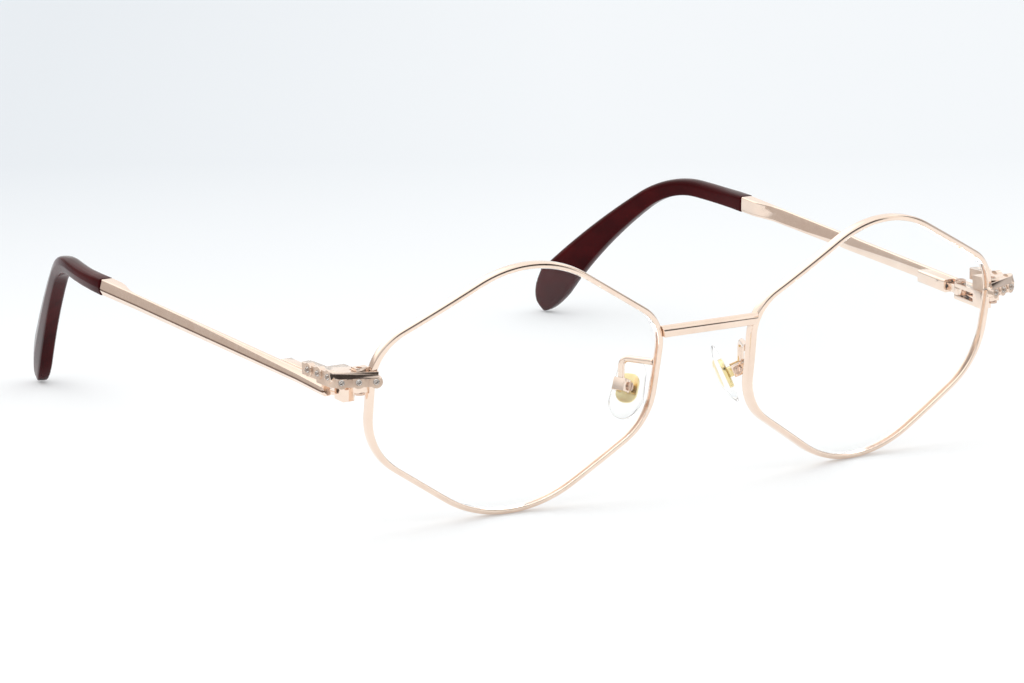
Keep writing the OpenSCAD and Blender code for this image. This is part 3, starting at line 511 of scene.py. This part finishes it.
# Section of a tip, as shares of half its thickness and half its height, with a ridge on the outer face:
# square where the bar goes in, and rounder from there on.
TIP_SECTION = [(0.93, 0.4), (0.87, 0.78), (0.85, 0.88), (0.79, 0.96), (0.68, 1), (0, 1), (-0.62, 1), (-0.8, 0.97),
               (-0.93, 0.88), (-0.99, 0.74), (-1, 0.5), (-1, 0), (-1, -0.5), (-0.99, -0.74), (-0.93, -0.88),
               (-0.8, -0.97), (-0.6, -1), (0, -1), (0.45, -1), (0.59, -0.97), (0.68, -0.9), (0.74, -0.78),
               (0.84, -0.5), (0.96, -0.14), (0.99, -0.05), (1.0, 0.02), (0.99, 0.09)]
ROUND_SECTION = [(0.93, 0.38), (0.84, 0.66), (0.75, 0.81), (0.61, 0.92), (0.42, 0.985), (0.1, 1), (-0.3, 0.985),
                 (-0.56, 0.93), (-0.76, 0.83), (-0.9, 0.68), (-0.98, 0.44)] + TIP_SECTION[11:]


def draw_tip(bm):
    """Tip from its lip over the bend to the rounded end."""
    # Lengths on the eased lip, and how far the section is drawn in there.
    lips = {0.0: 0.14, 0.06: 0.06, 0.16: 0.02}
    tail, end = TIP_STRAIGHT + BEND_L, TIP_L - TIP_ROUND
    stations = list(lips) + [0.3, 4, 8, 11.5] + [TIP_STRAIGHT + BEND_L * k / 14 for k in range(15)]
    stations += [tail + (end - tail) * k / 12 for k in range(1, 13)]
    stations += [end + TIP_ROUND * sin(radians(a)) for a in (12, 24, 36, 47, 57, 66, 74, 80, 85, 88)]
    rings = []
    for s in stations:
        place, out, up = tip_frame(s)
        half, cap = tip_size(s)
        lip = lips.get(s, 0.0)
        thick = TIP_T / 2 * (0.55 + 0.45 * cap) * (0.3 + 0.7 * min(1, cap * 2.2)) - lip
        tall = max(0.2, half * cap) - lip
        drop = half * (1 - cap) * 0.42
        rounder = eased((s - 1.0) / 7)
        section = [Vector(a).lerp(Vector(b), rounder) for a, b in zip(TIP_SECTION, ROUND_SECTION)]
        rings.append([place + out * p.x * thick + up * (p.y * tall - drop) for p in section])
    skin(bm, rings)


def draw_bar(bm):
    """Temple bar with its slanted front end, engraved line coloured dark as painted shade, and the core that runs
    on inside the tip.
    """
    # Lengths at the eased ends, and how far the section is drawn in there.
    eases = {-BAR_NOSE: 0.28, -4.82: 0.16, -4.65: 0.05, BAR_L - 0.02: 0.06}
    ys = [-BAR_NOSE, -4.82, -4.65, -4.4, HEAD_FROM] + [HEAD_TO + (OUT_FROM - HEAD_TO) * k / 6 for k in range(7)]
    ys += [FLARE_FROM + (FLARE_TO - FLARE_FROM) * k / 10 for k in range(11)] + [73.3, BAR_L - 0.02]
    rings = [bar_ring(y, eases.get(y, 0.0)) for y in ys]
    for ring, share in zip(rings, (1, 1, 1, 0.9)):
        for point in ring:
            point.y += share * 0.3 * (point.z + BAR_H / 2)
    skin(bm, rings)
    # Faces inside the engraved line take the dark material as painted shade.
    for face in bm.faces:
        middle = face.calc_center_median()
        ring = bar_ring(middle.y)
        in_line = ring[LINE_FOOT].z < middle.z < ring[LINE_TOP].z and middle.x < ring[LINE_TOP].x - 0.03
        if len(face.verts) == 4 and middle.x > 2 and in_line:
            face.material_index = 1
    core = []
    for s in [-1.5, 0.4] + [2 * k for k in range(1, 25)] + [CORE_L]:
        place, out, up = tip_frame(s)
        if s < 0:
            place = TIP_LINE[0] + s * tip_dir(0)
        core.append([place + out * a * CORE_HALF_T + up * b * CORE_HALF_H
                     for a, b in ((1, 1), (-1, 1), (-1, -1), (1, -1))])
    skin(bm, core)


both_sides("temple_bar", "temple_bar_metal", draw_bar, HINGE_PLACE, [rose_gold, painted_shade_gold], angle=13)
both_sides("temple_tip", "tip_plastic", draw_tip, HINGE_PLACE, [burgundy], angle=32)


# Spring: radius of its wire, turns, radius inside the coil, where it starts behind the pin, and its length.
SPRING_WIRE, SPRING_TURNS, SPRING_IN, SPRING_SEAT, SPRING_L = 0.11, 6, 0.42, 5.1, 5


def draw_spring(bm):
    """Coil as a disc spun round the rod in one long screw."""
    wire = SPRING_WIRE
    coil = SPRING_IN + wire
    start = SPRING_SEAT + wire + 0.02
    run = SPRING_L - 2 * wire - 0.04
    steps = SPRING_TURNS * 20
    made = bmesh.ops.create_circle(bm, segments=10, radius=wire, cap_ends=True,
                                   matrix=Matrix.Translation((coil, start, 0)))
    bmesh.ops.spin(bm, geom=bm.faces[:], cent=(0, start, 0), axis=(0, -1, 0), dvec=(0, run / steps, 0),
                   angle=2 * pi * SPRING_TURNS, steps=steps, use_merge=False, use_duplicate=False)


both_sides("hinge_spring", "coil_spring", draw_spring, HINGE_PLACE, [steel], angle=50)
for side in ("left", "right"):
    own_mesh(bpy.data.objects[side + "_coil_spring"])


# Nose pads, in the pad's space: X outwards, Y to its back edge, Z along it, in millimetres.
PAD_AT, PAD_SPLAY, PAD_LEAN = Vector((9.8, 12.5, 18.0)), 27, 24
# Length, width and thickness of a pad.
PAD_L, PAD_W, PAD_T = 11.0, 6.4, 2.5
PAD_PLACE = (MM @ Matrix.Translation(FRONT_AT + PAD_AT) @ Matrix.Rotation(radians(-PAD_SPLAY), 4, "Z")
             @ Matrix.Rotation(radians(-PAD_LEAN), 4, "Y"))


def pad_outline(inset):
    """Egg-shaped outline of a pad, drawn in by inset, as places along the pad and across it."""
    low_r, top_r = PAD_W / 2, PAD_W * 0.42
    length = PAD_L - low_r - top_r
    lean = asin((low_r - top_r) / length)
    low = [(-PAD_L / 2 + low_r, low_r - inset, pi / 2 - lean + (pi + 2 * lean) * k / 24) for k in range(25)]
    top = [(PAD_L / 2 - top_r, top_r - inset, lean - pi / 2 + (pi - 2 * lean) * k / 20) for k in range(21)]
    return [Vector((r * sin(a), middle + r * cos(a))) for middle, r, a in low + top]


def draw_pad(bm):
    """Pad with a domed skin side, a flatter side towards its core, and rounded edges."""
    # Radius of the skin side, flatter than a cap of the pad's length and thickness.
    dome = (PAD_L ** 2 / 4 + PAD_T ** 2) / (2 * PAD_T) * 1.35
    back = PAD_T / 2 - 0.1

    def front_x(p):
        return dome - PAD_T / 2 - 0.15 - sqrt(dome ** 2 - p.x ** 2 - p.y ** 2)

    def back_x(p):
        return back - 3 * dome + sqrt(9 * dome ** 2 - p.x ** 2 - p.y ** 2)

    inner = pad_outline(0.35)
    scales = [0.04, 0.2, 0.4, 0.6, 0.8, 0.93, 1.0]
    rings = [[Vector((back_x(p * k) - 0.03, p.x * k, p.y * k)) for p in inner] for k in scales]
    for inset, share in ((0.16, 0.05), (0.05, 0.2), (0.01, 0.45), (0.04, 0.72), (0.15, 0.93)):
        rings.append([Vector((back_x(p) * (1 - share) + front_x(p) * share, p.x, p.y))
                      for p in pad_outline(inset)])
    rings += [[Vector((front_x(p * k) + 0.03, p.x * k, p.y * k)) for p in inner] for k in reversed(scales)]
    skin(bm, rings)


both_sides("nose_pad", "soft_nose_pad", draw_pad, PAD_PLACE, [silicone], angle=60)

# Pad arm: where its wire starts on the rim and where it ends at the pad box; radius of the wire and of its bend,
# and number of its sides.
ARM_FOOT = FRONT_AT + Vector((9.579, 4.756, 24.164))
BOX_TOP = FRONT_AT + Vector((12.399, 10.839, 20.571))
ARM_R, ARM_BEND, ARM_SIDES = 0.575, 1.6, 20
# Height of the pad box's top in the pad's space, where the arm ends.
BOX_LID = 1.13


def draw_arm(bm):
    """Wire from its soldered foot on the rim back, down round one bend and cut off level with the box's top."""
    reach = BOX_TOP - ARM_FOOT
    run = hypot(reach.x, reach.y)
    drop = 0.5 - reach.z
    path = [(Vector((0, y, 0)), 0.0, grow) for y, grow in
            ((0.12, 0.13), (0.25, 0.1), (0.4, 0.05), (0.6, 0.0), (1.6, 0.0), (run - ARM_BEND - 0.1, 0.0))]
    path += [(Vector((0, run - ARM_BEND + ARM_BEND * sin(a), -ARM_BEND + ARM_BEND * cos(a))), a, 0.0)
             for a in (radians(9 * k) for k in range(11))]
    path.append((Vector((0, run, -drop)), pi / 2, 0.0))
    rings = []
    for place, turn, grow in path:
        across, up = Vector((1, 0, 0)), Vector((0, sin(turn), cos(turn)))
        rings.append([place + (ARM_R + grow) * (across * cos(a) + up * sin(a)) for a in round_angles(ARM_SIDES)])
    skin(bm, rings, caps=False)
    bmesh.ops.transform(bm, verts=bm.verts, matrix=Matrix.Translation(ARM_FOOT)
                        @ Matrix.Rotation(-atan2(reach.x, reach.y), 4, "Z"))
    pad = MM.inverted() @ PAD_PLACE
    bmesh.ops.bisect_plane(bm, geom=bm.verts[:] + bm.edges[:] + bm.faces[:],
                           plane_co=pad @ Vector((0, 0, BOX_LID)),
                           plane_no=(pad.to_3x3() @ Vector((0, 0, -1))).normalized(), clear_outer=True)
    bmesh.ops.holes_fill(bm, edges=[e for e in bm.edges if len(e.link_faces) == 1], sides=0)


both_sides("pad_arm", "pad_arm_wire", draw_arm, MM, [rose_gold], angle=40)


# Stones in their settings: slope of the end piece's front, where this front and the end piece's side begin, and
# the stones' places along them.
SLOPE = radians(25.5)
SLOPE_AT, SLOPE_STONES = Vector((62.942, 5.621, 27.379)), (0.85, 3.75, 6.65)
SIDE_AT, SIDE_STONES = Vector((70.234, 0, 28.179)), (17.101, 13.701, 10.301)
STONES = [(SLOPE_AT + d * Vector((cos(SLOPE), sin(SLOPE), 0)), Vector((sin(SLOPE), -cos(SLOPE), 0)))
          for d in SLOPE_STONES]
STONES += [(SIDE_AT + Vector((0, y, 0)), Vector((1, 0, 0))) for y in SIDE_STONES]
# Number of a stone's sides, how deep its seat lies, and its cut from the point to the table: radius, height over
# the seat, and twist as a share of one side.
STONE_SIDES, STONE_SUNK = 16, 0.15
STONE_CUT = ((0.1, 0.04, 0), (0.52, 0.4, 0), (0.535, 0.5, 0), (0.44, 0.66, 0.5), (0.3, 0.78, 0))


def draw_stones(bm):
    """Round stones with a table, a crown, a girdle and a cone under it."""
    for middle, normal in STONES:
        turn = normal.to_track_quat("Z", "Y").to_matrix().to_4x4()
        place = Matrix.Translation(FRONT_AT + middle - normal * STONE_SUNK) @ turn
        skin(bm, [[place @ Vector((r * cos(a), r * sin(a), z)) for a in round_angles(STONE_SIDES, twist)]
                  for r, z, twist in STONE_CUT])


both_sides("end_piece_stones", "cut_stones", draw_stones, MM, [crystal], angle=4)


# Machined pieces with eased edges.
BRIDGE_FRONT, BRIDGE_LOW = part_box("bridge")[0][1:3]


def on_ridge(edge):
    """The bridge's long upper front edge."""
    a, b = (v.co for v in edge.verts)
    lengthwise = abs(a.x - b.x) > 0.01
    return lengthwise and max(a.y, b.y) < BRIDGE_FRONT + 0.0003 and min(a.z, b.z) > BRIDGE_LOW + 0.0005


def on_outer_faces(normal):
    """Upright faces of an end piece, which carry the beads and their painted shade."""
    return abs(normal.z) < 0.2


eased_copy("bridge", "bridge_bar", 0.12, rose_gold, angle=25, rounded=on_ridge)
for side in ("left", "right"):
    # The end pieces' upright faces take the darker beaded plating, painted shade among the beads.
    eased_copy(f"{side}_end_piece", f"{side}_end_piece_metal", 0.1, rose_gold, bead_shade_gold, beaded=on_outer_faces)
    for part, label, width, material in (
            ("closing_block_upper", "upper_closing_block", 0.14, rose_gold),
            ("closing_block_lower", "lower_closing_block", 0.14, rose_gold),
            ("closing_screw", "closing_screw_metal", 0.05, screw_gold),
            ("hinge_leaf", "hinge_leaf_metal", 0.1, rose_gold),
            ("hinge_screw", "hinge_screw_metal", 0.05, screw_gold),
            ("hinge_slider", "hinge_slider_metal", 0.06, rose_gold),
            ("spring_stop", "spring_stop_ring", 0.04, rose_gold),
            ("spring_housing", "spring_housing_metal", 0.14, rose_gold),
            ("pad_box", "pad_box_metal", 0.1, rose_gold),
            ("pad_screw", "pad_screw_metal", 0.05, screw_gold),
            ("pad_core", "pad_core_plate", 0.14, plate_gold)):
        eased_copy(f"{side}_{part}", f"{side}_{label}", width, material)


# Table, light and camera.
# Half the table's side in metres, and how brightly it glows to the eye.
TABLE_HALF, TABLE_GLOW = 6, 0.25
# Directions on the table, away from the camera and to its left.
VIEW_AHEAD, VIEW_LEFT = (0.5215, 0.8532, 0), (-0.8532, 0.5215, 0)


def white_table():
    """White table that keeps its shadow; its glow to the eye fades, as painted shade, to a cool pale grey far
    behind the object, more to the left.
    """
    bm = bmesh.new()
    bmesh.ops.create_grid(bm, x_segments=4, y_segments=4, size=TABLE_HALF)
    table = finish_mesh(bm, "white_table", Matrix.Identity(4))
    material = bpy.data.materials.new("white_table_top")
    material.use_nodes = True
    tree = material.node_tree
    tree.nodes.clear()
    where = tree.nodes.new("ShaderNodeTexCoord").outputs["Object"]
    # Painted shade: the table's glow dims far behind the object and more to the left.
    far = toward(tree, where, VIEW_AHEAD, start=0.005, end=0.26)
    aside = toward(tree, where, VIEW_LEFT, start=-0.02, end=0.12)
    painted_falloff = combine(tree, "MULTIPLY", combine(tree, "MULTIPLY_ADD", aside, 0.36, 0.64), far)
    diffuse = tree.nodes.new("ShaderNodeBsdfDiffuse")
    diffuse.inputs["Color"].default_value = (0.75, 0.765, 0.775, 1)
    glow = tree.nodes.new("ShaderNodeEmission")
    tree.links.new(ramp(tree, painted_falloff, [(0.0, (1.0, 1.0, 1.0)), (1.0, (0.0, 0.09, 0.20))]), glow.inputs["Color"])
    path = tree.nodes.new("ShaderNodeLightPath")
    seen = combine(tree, "MAXIMUM", path.outputs["Is Camera Ray"], path.outputs["Is Glossy Ray"])
    seen = combine(tree, "MAXIMUM", seen, path.outputs["Is Transmission Ray"])
    tree.links.new(combine(tree, "MULTIPLY", seen, TABLE_GLOW), glow.inputs["Strength"])
    both = tree.nodes.new("ShaderNodeAddShader")
    tree.links.new(diffuse.outputs[0], both.inputs[0])
    tree.links.new(glow.outputs[0], both.inputs[1])
    output = tree.nodes.new("ShaderNodeOutputMaterial")
    tree.links.new(both.outputs[0], output.inputs[0])
    table.data.materials.append(material)


# Light of the studio's walls, and the areas laid over it one after another. Each has its light and the bounds
# that it keeps to: a direction, and the cosines to it at which the area begins and is full.
WALLS = (0.6, 0.6, 0.61)
AREAS = [
    # Ceiling
    ((1.12, 1.12, 1.12), [((0, 0, 1), 0.3, 0.65)]),
    # Soft boxes behind: on the right, low on the left, and high up
    ((1.06, 1.05, 1.03), [((0.5, 0.83, 0.28), 0.86, 0.96)]),
    ((1.15, 1.13, 1.1), [((-0.53, 0.8, 0.36), 0.9, 0.95)]),
    ((1.7, 1.69, 1.66), [((-0.1, 0.8, 0.6), 0.86, 0.95)]),
    # Duller corner on the left, close over the table
    ((0.56, 0.52, 0.5), [((-0.832, 0.555, 0), 0.45, 0.65), ((0, 0, -1), -0.22, -0.13)]),
    # Dark wall in front
    ((0.05, 0.045, 0.045), [((0.35, -0.94, 0), 0.45, 0.6), ((0, 0, 1), 0.09, 0.17),
                            ((0, 0, -1), -0.6, -0.5)]),
    # Bright opening in that wall, to the right
    ((1.05, 1.04, 1.02), [((0.6, 0.8, 0), -0.2, -0.12), ((-0.6, -0.8, 0), -0.2, -0.12),
                          ((0.8, -0.6, 0), 0.3, 0.5)])]
BACKDROP = (0.86, 0.92, 0.96)


def studio_world():
    """White room of soft boxes and duller walls; the camera sees a plain pale backdrop."""
    world = bpy.data.worlds.new("white_studio")
    world.use_nodes = True
    tree = world.node_tree
    tree.nodes.clear()
    where = tree.nodes.new("ShaderNodeTexCoord").outputs["Generated"]

    def lay_over(below, amount, colour):
        mix = tree.nodes.new("ShaderNodeMix")
        mix.data_type = "RGBA"
        tree.links.new(amount, mix.inputs[0])
        tree.links.new(below, mix.inputs[6])
        mix.inputs[7].default_value = (*colour, 1)
        return mix.outputs[2]

    walls = tree.nodes.new("ShaderNodeRGB")
    walls.outputs[0].default_value = (*WALLS, 1)
    light = walls.outputs[0]
    for colour, bounds in AREAS:
        amount = toward(tree, where, *bounds[0])
        for bound in bounds[1:]:
            amount = combine(tree, "MULTIPLY", amount, toward(tree, where, *bound))
        light = lay_over(light, amount, colour)
    path = tree.nodes.new("ShaderNodeLightPath")
    light = lay_over(light, path.outputs["Is Camera Ray"], BACKDROP)
    background = tree.nodes.new("ShaderNodeBackground")
    tree.links.new(light, background.inputs[0])
    output = tree.nodes.new("ShaderNodeOutputWorld")
    tree.links.new(background.outputs[0], output.inputs[0])
    bpy.context.scene.world = world


def soft_box(name, place, aim, size, power):
    """Rectangular lamp at a place, turned to a point."""
    lamp = bpy.data.lights.new(name, "AREA")
    lamp.shape = "RECTANGLE"
    lamp.size, lamp.size_y = size
    lamp.energy = power
    box = bpy.data.objects.new(name, lamp)
    box.location = place
    box.rotation_euler = (Vector(aim) - Vector(place)).to_track_quat("-Z", "Y").to_euler()
    bpy.context.scene.collection.objects.link(box)


# Camera, in millimetres: focal length and width of the sensor, place from where the measures start, and its axes.
FOCAL_LENGTH, SENSOR = 181.2, 36
CAMERA_AT = Vector((-478.95, -716.72, 217.62))
CAMERA_RIGHT, CAMERA_UP = Vector((0.85205, -0.52336, -0.01007)), Vector((0.12105, 0.17830, 0.97650))


def camera():
    """The photograph's view."""
    lens = bpy.data.cameras.new("camera")
    lens.sensor_fit = "HORIZONTAL"
    lens.sensor_width = SENSOR
    lens.lens = FOCAL_LENGTH
    lens.clip_start, lens.clip_end = 0.05, 50
    eye = bpy.data.objects.new("camera", lens)
    turn = Matrix((CAMERA_RIGHT, CAMERA_UP, CAMERA_RIGHT.cross(CAMERA_UP))).transposed().to_4x4()
    eye.matrix_world = Matrix.Translation((CAMERA_AT + FRONT_AT) * 0.001) @ turn
    bpy.context.scene.collection.objects.link(eye)
    bpy.context.scene.camera = eye


white_table()
studio_world()
soft_box("ceiling_box", place=(-0.3, 0.2, 1.4), aim=(0, 0, 0), size=(1.2, 0.9), power=1.0)
soft_box("right_box", place=(1.1, 0.3, 0.9), aim=(0, 0, 0.02), size=(0.6, 0.6), power=0.35)
camera()
bpy.context.scene.view_settings.view_transform = "Standard"
